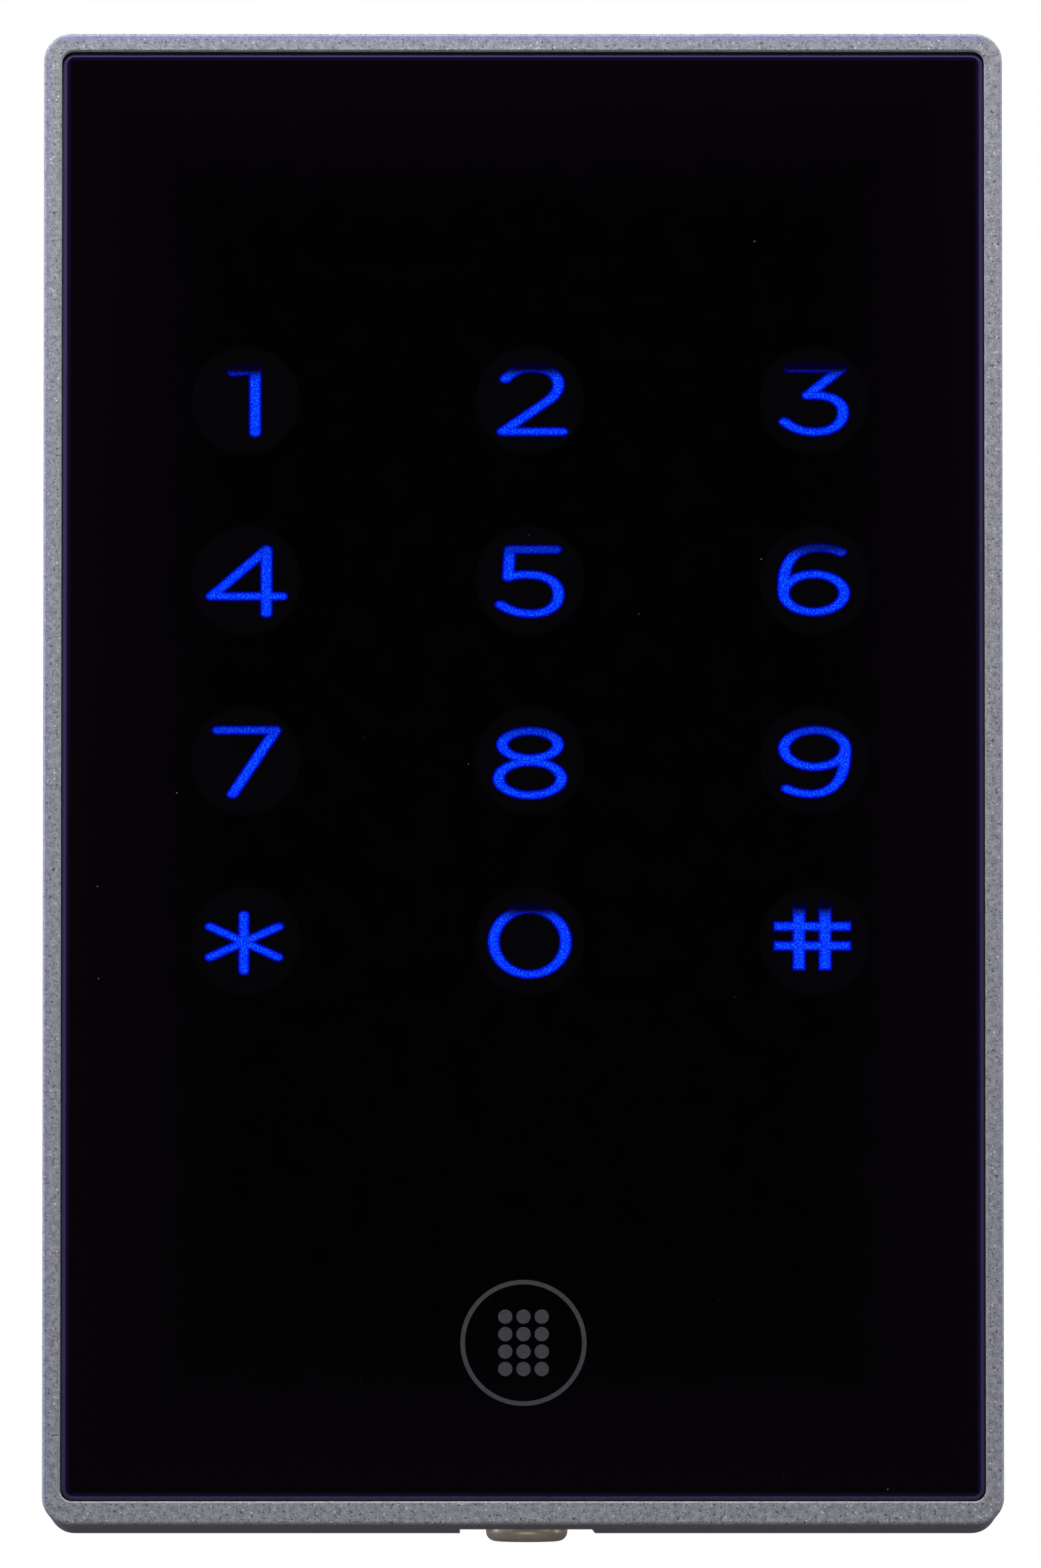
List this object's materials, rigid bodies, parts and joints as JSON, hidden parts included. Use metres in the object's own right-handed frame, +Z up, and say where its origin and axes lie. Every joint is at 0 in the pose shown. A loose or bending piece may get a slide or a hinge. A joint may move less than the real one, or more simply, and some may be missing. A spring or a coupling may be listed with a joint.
{
  "type": "keypad access reader",
  "caption": "Slim wall reader with a framed black touch panel, backlit digit keys, an internal antenna and a hinged hook-on bracket locked from below by a security screw.",
  "frame": {"origin": "centre of the bracket's wall face, at the middle of the reader's width and height", "axes": "+Y into the wall, so the face looks along -Y; +Z up; +X to the right as seen from the front"},
  "size_m": [0.077, 0.021, 0.1206],
  "materials": {
    "powder_coat": "satin",
    "black_glass": "gloss",
    "foam_tape": "matte",
    "printed_film": "satin",
    "black_plastic": "matte",
    "diffuser_plastic": "satin",
    "led_package": "satin",
    "circuit_board": "satin",
    "enamelled_wire": "satin",
    "chip_plastic": "matte",
    "tinned_metal": "satin",
    "can_metal": "satin",
    "header_plastic": "matte",
    "spring_steel": "satin",
    "zinc_steel": "satin",
    "seal_rubber": "matte",
    "brass": "satin",
    "bracket_steel": "satin",
    "washer_steel": "satin",
    "dark_screw": "satin",
    "plunger_plastic": "satin"
  },
  "bodies": {
    "bracket": {"wall_bracket": "bracket_steel"},
    "reader": {"front_bezel": "powder_coat", "touch_panel": "black_glass", "panel_adhesive": "foam_tape", "legend_film": "printed_film", "light_baffle": "black_plastic", "key_diffusers": "diffuser_plastic", "key_leds": "led_package", "main_pcb": "circuit_board", "antenna_coil": "enamelled_wire", "processor_ic": "chip_plastic", "touch_ic": "chip_plastic", "rf_ic": "chip_plastic", "ic_leads": "tinned_metal", "voltage_regulator": "chip_plastic", "capacitors": "can_metal", "crystal": "can_metal", "chip_resistors": "chip_plastic", "buzzer": "black_plastic", "harness_header": "header_plastic", "header_pins": "tinned_metal", "tamper_switch_body": "black_plastic", "tamper_spring": "spring_steel", "board_screws": "zinc_steel", "rear_cover": "black_plastic", "rear_gasket": "seal_rubber", "rear_cover_screws": "zinc_steel", "cable_grommet": "seal_rubber", "hook_rod": "zinc_steel", "threaded_insert": "brass"},
    "washer": {"screw_washer": "washer_steel"},
    "screw": {"security_screw": "dark_screw"},
    "plunger": {"tamper_plunger": "plunger_plastic"}
  },
  "joints": [
    {"name": "reader_tilt", "type": "hinge", "parent": "bracket", "child": "reader", "pos_m": [0, -0.00255, 0.05735], "axis": [-1, 0, 0], "range_deg": [0, 20]},
    {"name": "screw_travel", "type": "slide", "parent": "reader", "child": "washer", "axis": [0, 0, -1], "range_m": [0, 0.004]},
    {"name": "screw_turn", "type": "hinge", "parent": "washer", "child": "screw", "pos_m": [0.0003, -0.00465, -0.059], "axis": [0, 0, -1], "range_deg": [0, 2880]},
    {"name": "tamper_release", "type": "slide", "parent": "reader", "child": "plunger", "axis": [0, 1, 0], "range_m": [0, 0.0015], "stiffness_N_per_m": 150, "springref_m": 0.003, "deforming": ["tamper_spring"]}
  ],
  "couplings": [
    {"joint": "screw_turn", "follows": "screw_travel", "rad_per_m": 12566}
  ]
}
